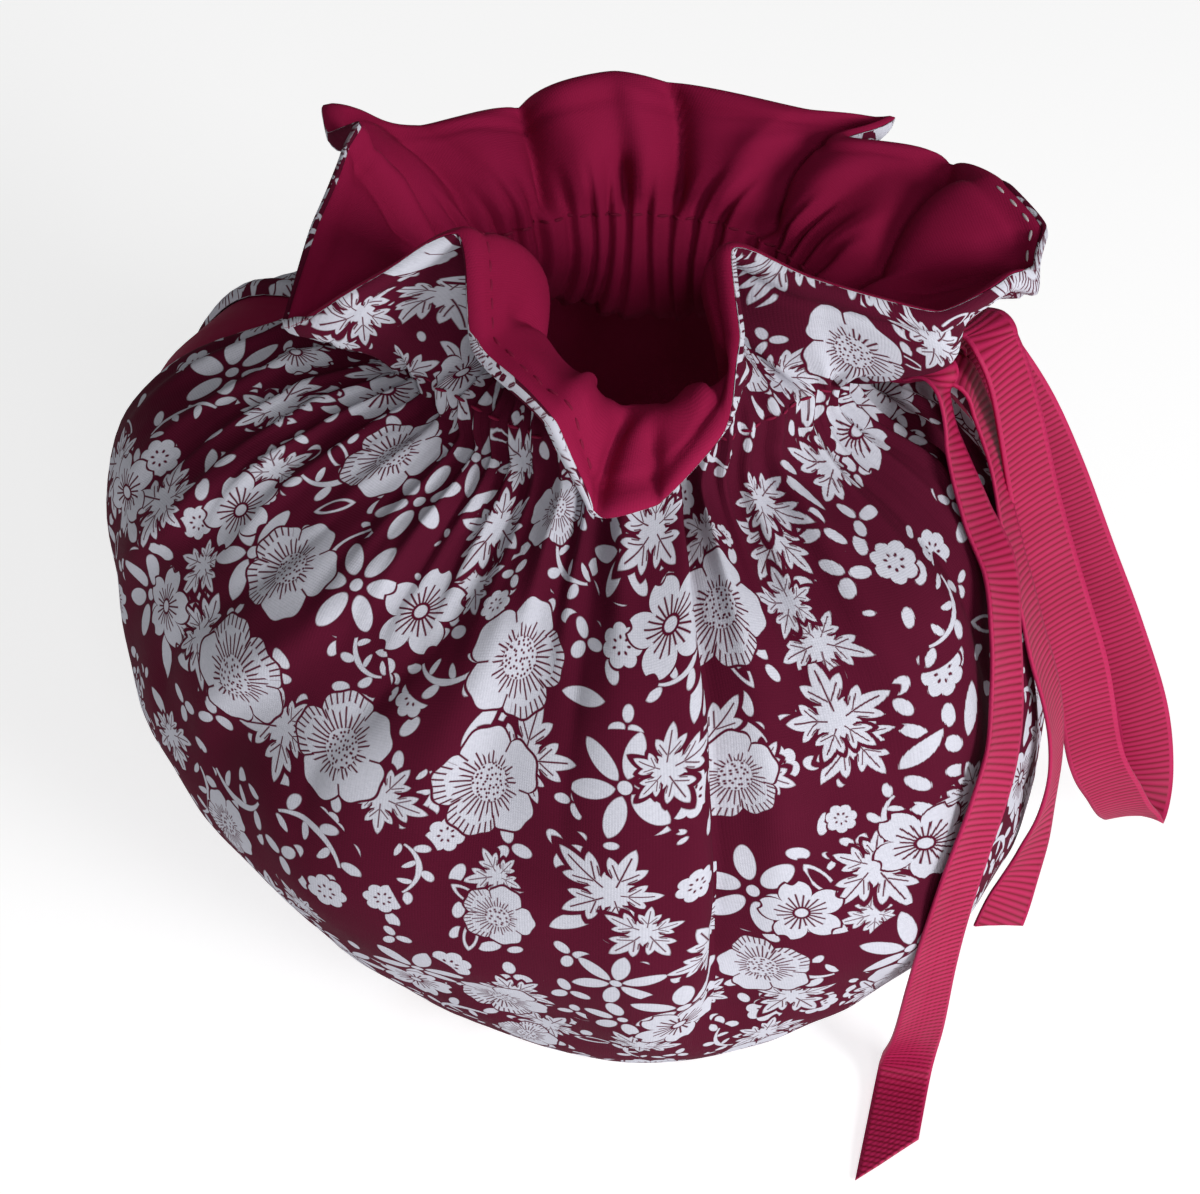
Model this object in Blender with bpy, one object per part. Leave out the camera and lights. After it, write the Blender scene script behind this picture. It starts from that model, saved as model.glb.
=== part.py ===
"""Gathered tea cosy: a padded cloth bag with a frill at its neck, a plain lining and a ribbon tie.

The bag stands on its turned-in hem with its own axis near Z. The front faces -Y, the opening for
the spout is on the -X side and the opening for the handle on the +X side. The tables below are in
millimetres and degrees, angles counted anticlockwise from +X as seen from above.
"""
import math

import bpy
from mathutils import Vector

MM = 0.001

# Driving sizes
AXIS = (-10.5, -0.6)        # where the bag's axis stands, which centres the whole part on the origin
COLUMNS = 72                # divisions of the cloth around the bag
OUTER_THICK = 1.4           # printed cloth with its wadding
LINING_THICK = 1.2
LAYER_GAP = 0.3             # between the printed cloth and the lining
BAG_SHIFT = 3.5             # the bag stands this far toward the handle
NECK_SHIFT = 0.5            # and the drawn-in neck this much farther

# Sections of the bag from the hem up. "spout" is how far the cloth stands out over the spout, and
# "lift" how far it is pushed up there.
SECTIONS = [
    # name             height  radius  spout   lift  handle  pleat
    ("hem turn-in",       0.0,  37.0,   0.0,   0.0,   0.0,   0.0),
    ("hem edge",          0.0,  43.5,   0.0,   0.0,   0.0,   0.0),
    ("hem bend",          4.0,  49.0,   0.0,   0.0,   0.0,   0.0),
    ("under belly",      15.0,  58.0,   0.0,   0.0,   3.5,   0.0),
    ("low belly",        31.0,  66.0,   5.0,   0.0,   5.5,   0.0),
    ("belly",            49.0,  70.0,  14.0,   0.0,   2.5,   0.0),
    ("high belly",       67.0,  70.5,  17.5,   0.0,  -1.0,   0.1),
    ("shoulder",         85.0,  66.5,  21.5,   0.5,  -4.0,   0.3),
    ("high shoulder",    98.0,  58.0,  25.0,   1.5,  -1.0,   0.6),
    ("neck foot",      106.5,  47.0,  25.0,   3.0,   2.5,   0.9),
    ("neck base",      112.0,  38.0,  17.0,   3.5,   2.0,   1.1),
    ("casing",         117.5,  34.0,   1.0,   1.0,   0.0,   1.2),
    ("casing top",     124.0,  34.0,   0.0,   0.0,   0.0,   1.2),
]
CASING_TOP = len(SECTIONS) - 1
NECK_START = 8              # the section above which the cloth moves over to the neck's own axis
SPOUT_SIDE = 166.0          # the middle of the spout's bulge
SPOUT_SPREAD = 42.0         # its half width at half height
HANDLE_SIDE = 5.0
HANDLE_SPREAD = 40.0
PLEATS = 18                 # gathers round the neck

# Folds of the bag: troughs are negative. The centre runs from "high" at the neck to "low" at the belly.
FOLDS = [
    # name                 high    low   half  depth   top  bottom
    ("front crease",      285.0, 283.5,   7.0,  -4.5, 116.0,  26.0),
    ("front ridge",       271.0, 276.0,   8.0,   3.0, 112.0,  20.0),
    ("right trough",      300.0, 303.0,   9.0,  -4.0, 112.0,  62.0),
    ("right swell",       318.0, 316.0,  12.0,   3.0, 110.0,  30.0),
    ("left frill fold",   236.0, 214.0,  10.0,  -5.0, 112.0,  66.0),
    ("left swell",        224.0, 232.0,  13.0,   3.0, 108.0,  26.0),
    ("front left fold",   258.0, 251.0,   7.0,  -3.0, 114.0,  70.0),
    ("spout fold",        205.0, 190.0,   9.0,  -4.5, 108.0,  70.0),
    ("low left tuck",     238.0, 238.0,  24.0,  -3.0,  40.0, -20.0),
    ("back left fold",    128.0, 132.0,  10.0,  -3.0, 112.0,  45.0),
    ("back swell",        108.0, 106.0,  12.0,   2.5, 110.0,  30.0),
    ("back fold",          88.0,  84.0,   9.0,  -3.5, 114.0,  50.0),
    ("back right swell",   64.0,  62.0,  12.0,   2.5, 110.0,  30.0),
    ("back right fold",    44.0,  42.0,   9.0,  -3.0, 112.0,  55.0),
]

# Openings: one column of the cloth is left out, and the lips beside it are drawn apart.
SLITS = [
    # name     side   first row  last row  width
    ("spout",  162.5,     5,       10,      24.0),
    ("handle",   7.5,     4,        9,      18.0),
]
SLIT_REACH = 48.0           # degrees over which the drawn-apart cloth closes up again

# The frill's free edge. "lean" pushes the cloth between neck and edge out, or in when negative.
FRILL = [
    # name               turn     x      y      z    lean  rise
    ("front tip",        270.0,  -1.0, -50.0, 122.5,   0.0, 17.0),
    ("front right",      279.0,   8.0, -50.0, 125.5,   0.0, 16.0),
    ("front right side", 291.0,  17.0, -43.0, 132.5,  -2.0, 14.0),
    ("right fold mouth", 305.0,  19.5, -31.0, 141.0, -15.0, 12.0),
    ("right inner tip",  316.0,  19.0, -20.0, 149.0, -21.0, 12.0),
    ("right fold back",  327.0,  30.0, -22.0, 145.5,   2.0, 10.0),
    ("right notch",      343.0,  49.0, -25.0, 141.5,  19.0,   0.0),
    ("right lobe front", 358.0,  61.0, -11.0, 139.5,  13.0,  2.0),
    ("right tip",         11.0,  69.0,   2.0, 139.0,   6.0, 10.0),
    ("right lobe back",   22.5,  63.0,  14.5, 141.0,   2.0, 12.0),
    ("back right corner", 34.0,  55.0,  24.0, 141.0,   1.0, 12.0),
    ("inner pleat",       48.0,  40.0,  30.0, 139.5,   1.0, 12.0),
    ("outer pleat",       57.0,  48.0,  36.0, 140.5,   1.0, 12.0),
    ("back right",        69.0,  33.5,  38.5, 140.5,   1.0, 12.0),
    ("back peak",         92.0,   2.0,  45.0, 144.0,   1.0, 12.0),
    ("back left",        108.0, -15.0,  43.0, 139.5,   1.0, 12.0),
    ("back left notch",  125.0, -32.5,  35.0, 138.0,   1.0, 12.0),
    ("back left tip",    140.0, -45.5,  30.0, 146.0,   1.0, 12.0),
    ("left fold",        149.0, -44.5,  22.5, 145.0,   0.0, 12.0),
    ("left peak",        157.0, -39.5,  17.5, 149.0,   0.0, 12.0),
    ("left side",        175.0, -45.5,   0.5, 141.0,   1.0, 12.0),
    ("left corner",      194.0, -48.5, -18.0, 134.0,   3.0, 11.0),
    ("left front",       207.0, -39.0, -23.5, 143.0,   0.0, 12.0),
    ("left inner tip",   223.0, -21.5, -20.5, 152.5, -28.0, 12.0),
    ("left fold front",  240.0, -19.0, -36.0, 142.5, -22.0, 13.0),
    ("front left",       256.0,  -8.0, -47.0, 136.5,  -2.0, 15.0),
]
FRILL_ROWS = 5

# Ribbon tie. "bearing" and "tip" point the ribbon's width, in plan and upward.
RIBBON_WIDTH = 10.0
RIBBON_THICK = 1.0
RIBBON_STEPS = 3            # lengths between two rows of a ribbon's table
FRONT_TAIL = [
    # x       y      z    bearing  tip
    ( 52.4, -11.7, 121.0,   84.0,   0.0),
    ( 54.4, -16.2, 113.0,   80.0,   0.0),
    ( 58.0, -23.4, 105.2,   70.0,   0.0),
    ( 61.8, -30.0,  98.8,   63.0,   0.0),
    ( 63.6, -36.6,  92.2,   62.0,   0.0),
    ( 64.5, -42.0,  84.0,   58.0,   0.0),
    ( 63.9, -46.7,  76.5,   54.0,   0.0),
    ( 61.8, -51.3,  69.0,   46.0,   0.0),
    ( 59.4, -54.6,  60.0,   38.0,   0.0),
    ( 57.2, -56.4,  48.0,   35.0,   0.0),
    ( 55.0, -55.6,  32.0,   30.0,   0.0),
    ( 53.4, -52.8,  17.0,   20.0,   0.0),
    ( 52.7, -50.2,   7.0,    0.0,   0.0),
    ( 51.7, -51.6,   1.6,  -13.0,   0.0),
    ( 48.0, -67.8,   0.5,  -15.0,   0.0),
]
FRONT_TAIL_CUT = 11.0       # how far the slanted end runs along one edge
BACK_TAIL = [
    ( 57.4,  -4.6, 118.0,   80.0,   0.0),
    ( 59.8,  -6.6, 113.0,   76.0,   0.0),
    ( 62.2, -10.2, 107.0,   76.0,   0.0),
    ( 64.2, -14.4,  99.6,   77.0,   0.0),
    ( 66.4, -19.2,  92.5,   75.0,   0.0),
    ( 68.6, -22.2,  85.9,   73.0,   0.0),
    ( 70.5, -24.8,  79.0,   70.0,   0.0),
    ( 73.1, -26.5,  70.4,   70.0,   0.0),
    ( 74.8, -27.0,  62.0,   70.0,   0.0),
    ( 75.6, -27.0,  52.9,   68.0,   0.0),
    ( 75.3, -27.0,  43.5,   60.0,   0.0),
    ( 74.6, -28.6,  36.0,   48.0,   0.0),
    ( 72.8, -31.0,  29.5,   35.0,   0.0),
    ( 70.4, -34.4,  25.1,   27.0,   0.0),
]
BACK_TAIL_CUT = 3.0
LOOP = [
    ( 58.3,   3.1, 123.7,   24.0,   0.0),
    ( 60.2,  -0.6, 124.4,   38.0,   0.0),
    ( 62.0,  -3.2, 122.4,   46.0,   0.0),
    ( 64.2,  -4.8, 117.6,   46.0,   0.0),
    ( 68.0,  -6.6, 109.0,   40.0,   0.0),
    ( 73.0,  -8.4,  93.0,   32.0,   0.0),
    ( 77.0, -10.2,  77.2,   25.0,   0.0),
    ( 82.0, -10.8,  60.0,   16.0,   0.0),
    ( 87.2,  -9.5,  39.7,   10.0,   0.0),
    ( 92.4,  -6.0,  28.0,    6.0,   0.0),
    ( 96.5,  -2.0,  19.5,    3.0,   0.0),
    (100.0,   2.0,  15.5,    0.0,   0.0),
    (101.5,   6.5,  20.5,    3.0,   0.0),
    ( 99.0,   9.0,  34.0,    8.0,   0.0),
    ( 92.0,  10.0,  53.0,    6.0,   0.0),
    ( 84.5,   9.5,  71.0,    6.0,   0.0),
    ( 77.5,   8.5,  88.0,    8.0,   0.0),
    ( 71.0,   7.5, 102.0,   10.0,   0.0),
    ( 65.0,   6.5, 112.0,   12.0,   0.0),
    ( 61.5,   6.0, 117.0,   12.0,   0.0),
]
KNOT = (48.0, -2.0, 120.5)
KNOT_SIZE = (14.5, 14.0, 8.0)

LIFT = OUTER_THICK + LAYER_GAP / 2     # height of the seam face over the surface the hem rests on


def bell(turn, middle, half_width):
    """1 at the middle, one half at half_width degrees away, fading smoothly to nothing."""
    away = (turn - middle + 180.0) % 360.0 - 180.0
    return math.exp(-math.log(2.0) * (away / half_width) ** 2)


def ease(value):
    value = min(1.0, max(0.0, value))
    return value * value * (3.0 - 2.0 * value)


def radial(turn):
    return Vector((math.cos(math.radians(turn)), math.sin(math.radians(turn)), 0.0))


def fold_depth(turn, height):
    """How far the folds move the cloth outward here."""
    depth = 0.0
    for _, high, low, half, deep, top, bottom in FOLDS:
        down = ease((top - height) / (top - bottom))
        strength = ease((top + 10.0 - height) / 20.0) * ease((height - bottom + 18.0) / 36.0)
        depth += deep * strength * bell(turn, high + (low - high) * down, half)
    return depth


def drawn_apart(turn, row, radius):
    """The angle of a point once the lips of the openings beside it are drawn apart."""
    half_column = 180.0 / COLUMNS
    for _, side, first, last, width in SLITS:
        if not first <= row <= last:
            continue
        open_here = max(0.0, math.sin(math.pi * (row - first) / (last - first))) ** 0.6
        half_gap = max(1.0, width / 2 * open_here)
        shift = math.degrees(half_gap / radius) - half_column
        away = (turn - side + 180.0) % 360.0 - 180.0
        if abs(away) < SLIT_REACH:
            fade = math.cos(math.pi / 2 * (abs(away) - half_column) / SLIT_REACH) ** 2
            turn += math.copysign(shift * fade, away)
    return turn


def bag_point(turn, row):
    _, height, radius, spout, lift, handle, pleat = SECTIONS[row]
    turn = drawn_apart(turn, row, radius + spout)
    near_spout = bell(turn, SPOUT_SIDE, SPOUT_SPREAD)
    radius += spout * near_spout
    radius += handle * bell(turn, HANDLE_SIDE, HANDLE_SPREAD)
    radius += fold_depth(turn, height)
    radius += pleat * math.cos(math.radians(PLEATS * turn))
    shift = BAG_SHIFT + NECK_SHIFT * ease((row - NECK_START) / (CASING_TOP - 1 - NECK_START))
    return radial(turn) * radius + Vector((shift, 0.0, height + lift * near_spout + LIFT))


def frill_values(turn):
    """Edge point, lean and rise at this angle: a smooth closed curve through the FRILL rows."""
    keys = [row[1] + (360.0 if row[1] < FRILL[0][1] else 0.0) for row in FRILL]
    count = len(keys)
    turn = (turn - keys[0]) % 360.0 + keys[0]
    this = max(place for place in range(count) if keys[place] <= turn)

    def key(place):
        return keys[place % count] + 360.0 * (place // count)

    def slope(place, column):
        rise = FRILL[(place + 1) % count][column] - FRILL[(place - 1) % count][column]
        return rise / (key(place + 1) - key(place - 1))

    span = key(this + 1) - key(this)
    part = (turn - key(this)) / span
    values = []
    for column in range(2, 7):
        start, end = FRILL[this][column], FRILL[(this + 1) % count][column]
        values.append(
            start * (1 + 2 * part) * (1 - part) ** 2 + end * part ** 2 * (3 - 2 * part)
            + slope(this, column) * span * part * (1 - part) ** 2
            + slope(this + 1, column) * span * part ** 2 * (part - 1))
    return Vector(values[:3]), values[3], values[4]


def frill_point(turn, part):
    """A point of the frill, part 0 at the casing and 1 at the free edge."""
    root = bag_point(turn, CASING_TOP)
    edge, lean, rise = frill_values(turn)
    edge.z += LIFT
    across = Vector((edge.x - root.x, edge.y - root.y, 0.0))
    middle = root + 0.25 * across + radial(turn) * lean + Vector((0.0, 0.0, rise))
    return root * (1 - part) ** 2 + middle * 2 * part * (1 - part) + edge * part ** 2


def cloth_grid():
    """Rows of points on the seam face between printed cloth and lining, from hem to frill edge."""
    turns = [360.0 * column / COLUMNS for column in range(COLUMNS)]
    grid = [[bag_point(turn, row) for turn in turns] for row in range(len(SECTIONS))]
    for step in range(1, FRILL_ROWS + 1):
        grid.append([frill_point(turn, step / FRILL_ROWS) for turn in turns])
    return grid


def is_open(row, column):
    """Whether this cell of the grid belongs to an opening."""
    middle = 360.0 * (column + 0.5) / COLUMNS
    return any(abs(middle - side) < 0.1 and first <= row < last for _, side, first, last, _ in SLITS)


def grid_triangles(rows):
    triangles = []
    for row in range(rows - 1):
        for column in range(COLUMNS):
            if is_open(row, column):
                continue
            here, right = row * COLUMNS + column, row * COLUMNS + (column + 1) % COLUMNS
            up, across = here + COLUMNS, right + COLUMNS
            if (row + column) % 2:
                triangles += [(here, right, up), (right, across, up)]
            else:
                triangles += [(here, right, across), (here, across, up)]
    return triangles


def point_normals(points, triangles):
    normals = [Vector() for _ in points]
    for triangle in triangles:
        a, b, c = (points[index] for index in triangle)
        facing = (b - a).cross(c - a)
        for index in triangle:
            normals[index] += facing
    for index in range(2 * COLUMNS):
        normals[index] = Vector((0.0, 0.0, -1.0))       # the hem lies flat
    return [normal.normalized() for normal in normals]


def new_object(name, points, faces, material):
    mesh = bpy.data.meshes.new(name)
    place = Vector((AXIS[0], AXIS[1], 0.0))
    mesh.from_pydata([(point + place) * MM for point in points], [], faces)
    mesh.materials.append(material)
    mesh.shade_smooth()
    mesh.set_sharp_from_angle(angle=math.radians(40.0))
    thing = bpy.data.objects.new(name, mesh)
    bpy.context.collection.objects.link(thing)
    return thing


def cloth_layer(name, grid, first_row, inner, outer, material):
    """A closed layer between two distances from the seam face, both counted outward."""
    points = [point for row in grid for point in row]
    triangles = grid_triangles(len(grid))
    normals = point_normals(points, triangles)
    kept = [triangle for triangle in triangles if min(triangle) >= first_row * COLUMNS]
    used = sorted({index for triangle in kept for index in triangle})
    place = {index: order for order, index in enumerate(used)}
    count = len(used)
    solid = [points[index] + normals[index] * outer for index in used]
    solid += [points[index] + normals[index] * inner for index in used]
    faces = []
    edges = set()
    for a, b, c in kept:
        a, b, c = place[a], place[b], place[c]
        faces += [(a, b, c), (c + count, b + count, a + count)]
        edges |= {(a, b), (b, c), (c, a)}
    for a, b in sorted(edges):
        if (b, a) not in edges:
            faces += [(b, a, a + count), (b, a + count, b + count)]
    return new_object(name, solid, faces, material)


def smooth_rows(rows, steps):
    """The rows with a smooth curve through them, cut into steps between each two."""
    table = [Vector(row) for row in rows]
    table = [2 * table[0] - table[1]] + table + [2 * table[-1] - table[-2]]
    finer = []
    for before, start, end, after in zip(table, table[1:], table[2:], table[3:]):
        for step in range(steps):
            part = step / steps
            finer.append(0.5 * (2 * start + part * (end - before)
                                + part ** 2 * (2 * before - 5 * start + 4 * end - after)
                                + part ** 3 * (3 * start - before - 3 * end + after)))
    finer.append(table[-2])
    return [tuple(row) for row in finer]


def ribbon_frames(rows):
    """Centre, width direction, face direction and run of the ribbon at each row."""
    rows = [row[:2] + (max(row[2], RIBBON_THICK / 2),) + row[3:] for row in smooth_rows(rows, RIBBON_STEPS)]
    centres = [Vector(row[:3]) for row in rows]
    frames = []
    for index, (_, _, height, bearing, tip) in enumerate(rows):
        run = centres[min(index + 1, len(rows) - 1)] - centres[max(index - 1, 0)]
        if height <= RIBBON_THICK / 2:
            run.z = 0.0
        run.normalize()
        width = radial(bearing) * math.cos(math.radians(tip)) + Vector((0, 0, math.sin(math.radians(tip))))
        width = (width - run * width.dot(run)).normalized()
        frames.append((centres[index], width, run.cross(width), run))
    return frames


def ribbon(name, rows, cut, material):
    """A flat ribbon through the rows. The far end is cut on a slant, "cut" long."""
    points, faces = [], []
    frames = ribbon_frames(rows)
    for centre, width, face, run in frames:
        slant = run * (cut / 2 if centre is frames[-1][0] else 0.0)
        for side, level in ((-1, -1), (1, -1), (1, 1), (-1, 1)):
            points.append(centre + width * (side * RIBBON_WIDTH / 2) - slant * side
                          + face * (level * RIBBON_THICK / 2))
    for index in range(len(frames) - 1):
        for corner in range(4):
            a, b = 4 * index + corner, 4 * index + (corner + 1) % 4
            if corner == 2:
                faces += [(a, b, a + 4), (b, b + 4, a + 4)]
            else:
                faces += [(a, b, b + 4), (a, b + 4, a + 4)]
    end = len(points) - 4
    faces += [(3, 2, 1), (3, 1, 0), (end, end + 1, end + 2), (end, end + 2, end + 3)]
    return new_object(name, points, faces, material)


def knot(name, material):
    """The knot, a rounded lump against the casing."""
    rings, spokes = 7, 12
    points = [Vector((0, 0, -1))]
    for ring in range(1, rings):
        tilt = math.pi * (ring / rings - 0.5)
        for spoke in range(spokes):
            points.append(radial(360.0 * spoke / spokes) * math.cos(tilt) + Vector((0, 0, math.sin(tilt))))
    points.append(Vector((0, 0, 1)))
    top = len(points) - 1
    faces = []
    for spoke in range(spokes):
        following = (spoke + 1) % spokes
        faces.append((0, 1 + following, 1 + spoke))
        faces.append((top, top - spokes + spoke, top - spokes + following))
        for ring in range(rings - 2):
            low = 1 + ring * spokes
            faces.append((low + spoke, low + following, low + spokes + following))
            faces.append((low + spoke, low + spokes + following, low + spokes + spoke))
    half = Vector(KNOT_SIZE) / 2
    solid = [Vector(KNOT) + Vector((p.x * half.x, p.y * half.y, p.z * half.z)) for p in points]
    return new_object(name, solid, faces, material)


def fabric(name, colour, roughness):
    material = bpy.data.materials.new(name)
    material.use_nodes = True
    shader = material.node_tree.nodes["Principled BSDF"]
    shader.inputs["Base Color"].default_value = (*colour, 1.0)
    shader.inputs["Roughness"].default_value = roughness
    shader.inputs["Metallic"].default_value = 0.0
    return material


def main():
    for thing in list(bpy.data.objects):
        bpy.data.objects.remove(thing, do_unlink=True)
    printed = fabric("printed cotton", (0.30, 0.08, 0.13), 0.85)
    plain = fabric("plain lining", (0.20, 0.008, 0.045), 0.8)
    satin = fabric("ribbed ribbon", (0.42, 0.02, 0.09), 0.5)
    grid = cloth_grid()
    half_gap = LAYER_GAP / 2
    cloth_layer("cosy_outer", grid, 0, half_gap, half_gap + OUTER_THICK, printed)
    cloth_layer("cosy_lining", grid, 1, -half_gap - LINING_THICK, -half_gap, plain)
    ribbon("ribbon_front_tail", FRONT_TAIL, FRONT_TAIL_CUT, satin)
    ribbon("ribbon_back_tail", BACK_TAIL, BACK_TAIL_CUT, satin)
    ribbon("ribbon_loop", LOOP, 0.0, satin)
    knot("ribbon_knot", satin)


if __name__ == "__main__":
    main()
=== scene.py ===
"""Gathered tea cosy, dressed: printed cotton over a plain lining, a frill above the drawn-in neck
and a grosgrain tie. Tables are in millimetres and degrees, angles counted anticlockwise from +X.
"""
import math

import bpy
import numpy as np
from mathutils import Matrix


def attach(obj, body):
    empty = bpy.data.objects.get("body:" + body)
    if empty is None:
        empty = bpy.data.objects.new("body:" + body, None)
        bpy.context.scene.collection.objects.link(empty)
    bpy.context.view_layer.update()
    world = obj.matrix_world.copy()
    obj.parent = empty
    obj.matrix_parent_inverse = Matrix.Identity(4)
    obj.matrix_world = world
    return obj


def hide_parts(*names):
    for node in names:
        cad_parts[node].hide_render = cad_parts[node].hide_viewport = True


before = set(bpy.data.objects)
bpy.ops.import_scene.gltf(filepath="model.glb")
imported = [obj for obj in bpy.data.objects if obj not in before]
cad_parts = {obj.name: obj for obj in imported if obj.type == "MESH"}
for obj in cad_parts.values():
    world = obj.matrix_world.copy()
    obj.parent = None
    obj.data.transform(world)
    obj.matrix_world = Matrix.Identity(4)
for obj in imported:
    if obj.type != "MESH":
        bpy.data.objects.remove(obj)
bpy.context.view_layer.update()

MM = 0.001
AXIS = np.array([-10.5, -0.6, 0.0])     # where the bag's axis stands
OUTER_THICK = 1.4
LINING_THICK = 1.2
LAYER_GAP = 0.3                         # between the two solids
FACE_GAP = 0.06                         # from the seam face to each layer drawn here
LIFT = OUTER_THICK + LAYER_GAP / 2      # height of the seam face over the surface the hem rests on
BAG_SHIFT = 3.5                         # how far the bag stands toward +X
NECK_SHIFT = 0.5                        # how much further the neck does
NECK_START = 8                          # the section from which it does
SPOUT_SIDE, SPOUT_SPREAD = 166.0, 42.0
HANDLE_SIDE, HANDLE_SPREAD = 5.0, 40.0
SLIT_REACH = 48.0                       # degrees beside an opening over which the cloth gives way
BELLY = 71.0                            # radius at which the print lies flat
CREASE_DEPTH = 1.5                      # what the bag's creases are multiplied by
FRILL_VALLEY, FRILL_RIDGE = 1.9, 1.5    # the same for the frill's

# Sections of the bag from the hem up, each with the number of mesh rows up to the next one
SECTIONS = [
    # height radius spout lift handle rows
    (0.0,   37.0,  0.0, 0.0,   0.0, 2),
    (0.0,   43.5,  0.0, 0.0,   0.0, 3),
    (4.0,   49.0,  0.0, 0.0,   0.0, 5),
    (15.0,  58.0,  0.0, 0.0,   3.5, 6),
    (31.0,  66.0,  5.0, 0.0,   5.5, 6),
    (49.0,  70.0, 14.0, 0.0,   2.5, 6),
    (67.0,  70.5, 17.5, 0.0,  -1.0, 6),
    (85.0,  66.5, 21.5, 0.5,  -2.5, 6),
    (98.0,  58.0, 25.0, 1.5,   1.5, 5),
    (106.5, 47.0, 25.0, 3.0,   4.0, 4),
    (112.0, 38.0, 17.0, 3.5,   2.0, 4),
    (117.5, 34.0,  1.0, 1.0,   0.0, 4),
    (124.0, 34.0,  0.0, 0.0,   0.0, 0),
]
CASING = len(SECTIONS) - 1
FRILL_ROWS = 22

# Folds of the bag, troughs negative, running from "high" at the neck to "low" at the belly
FOLDS = [
    # high    low  half  depth   top  bottom
    (285.0, 283.5,  7.0,  -4.5, 116.0,  26.0),      # front crease
    (271.0, 276.0,  8.0,   3.0, 112.0,  20.0),      # front ridge
    (300.0, 303.0,  9.0,  -4.0, 112.0,  62.0),      # right trough
    (318.0, 316.0, 12.0,   3.0, 110.0,  30.0),      # right swell
    (236.0, 214.0, 10.0,  -5.0, 112.0,  66.0),      # left fold under the frill
    (224.0, 232.0, 13.0,   3.0, 108.0,  26.0),      # left swell
    (258.0, 251.0,  7.0,  -3.0, 114.0,  70.0),      # front left fold
    (205.0, 190.0,  9.0,  -4.5, 108.0,  70.0),      # spout fold
    (238.0, 238.0, 24.0,  -3.0,  40.0, -20.0),      # low left tuck
    (128.0, 132.0, 10.0,  -3.0, 112.0,  45.0),      # back left fold
    (108.0, 106.0, 12.0,   2.5, 110.0,  30.0),      # back swell
    (88.0,   84.0,  9.0,  -3.5, 114.0,  50.0),      # back fold
    (64.0,   62.0, 12.0,   2.5, 110.0,  30.0),      # back right swell
    (44.0,   42.0,  9.0,  -3.0, 112.0,  55.0),      # back right fold
]

# Creases of the padded cloth, narrower than the folds
CREASES = [
    (282.5, 281.5,  1.8,  -2.4, 118.0,  42.0),
    (278.0, 278.0,  2.6,   1.3, 118.0,  40.0),
    (289.0, 290.0,  3.0,   1.2, 116.0,  58.0),
    (296.0, 297.5,  2.4,  -1.3, 116.0,  74.0),
    (309.0, 312.0,  3.2,   1.0, 114.0,  66.0),
    (327.0, 325.0,  3.0,  -1.2, 114.0,  72.0),
    (338.0, 341.0,  4.0,   1.1, 112.0,  62.0),
    (349.0, 350.0,  3.0,  -1.3, 112.0,  66.0),
    (264.0, 262.0,  2.6,  -1.0, 116.0,  80.0),
    (253.0, 244.0,  2.8,   1.1, 116.0,  78.0),
    (245.0, 229.0,  2.6,  -1.2, 114.0,  74.0),
    (229.0, 209.0,  2.6,   1.2, 112.0,  70.0),
    (216.0, 199.0,  2.4,  -1.3, 110.0,  72.0),
    (196.0, 182.0,  2.6,   1.2, 108.0,  76.0),
    (186.0, 176.0,  2.4,  -1.0, 108.0,  80.0),
    (150.0, 149.0,  3.0,  -1.2, 110.0,  70.0),
    (141.0, 141.0,  3.4,   1.0, 110.0,  60.0),
    (118.0, 120.0,  2.6,  -1.1, 114.0,  74.0),
    (99.0,   98.0,  3.0,   1.0, 114.0,  66.0),
    (76.0,   73.0,  2.6,  -1.2, 114.0,  70.0),
    (54.0,   52.0,  3.0,   1.0, 112.0,  64.0),
    (33.0,   31.0,  2.6,  -1.1, 112.0,  66.0),
    (20.0,   22.0,  3.2,   1.0, 110.0,  62.0),
]

# Long shallow hollows across the belly, where the padding sags: turn, height, half widths, depth
DENTS = [
    (248.0, 34.0, 13.0, 7.0, -1.3),
    (262.0, 24.0, 10.0, 6.0, -1.1),
    (226.0, 44.0, 12.0, 8.0, -1.1),
    (292.0, 32.0, 14.0, 7.0, -1.2),
    (310.0, 42.0, 12.0, 9.0,  1.0),
    (272.0, 58.0, 10.0, 12.0, 0.9),
    (238.0, 62.0, 11.0, 10.0, 0.9),
    (328.0, 52.0, 10.0, 12.0, -1.0),
    (140.0, 40.0, 14.0, 8.0, -1.1),
    (100.0, 30.0, 13.0, 7.0, -1.2),
    (60.0,  40.0, 14.0, 8.0, -1.1),
    (30.0,  56.0, 10.0, 12.0, 0.9),
]

# Openings: side, first and last section, width
SLITS = [(162.5, 5, 10, 24.0), (7.5, 4, 9, 18.0)]

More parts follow.
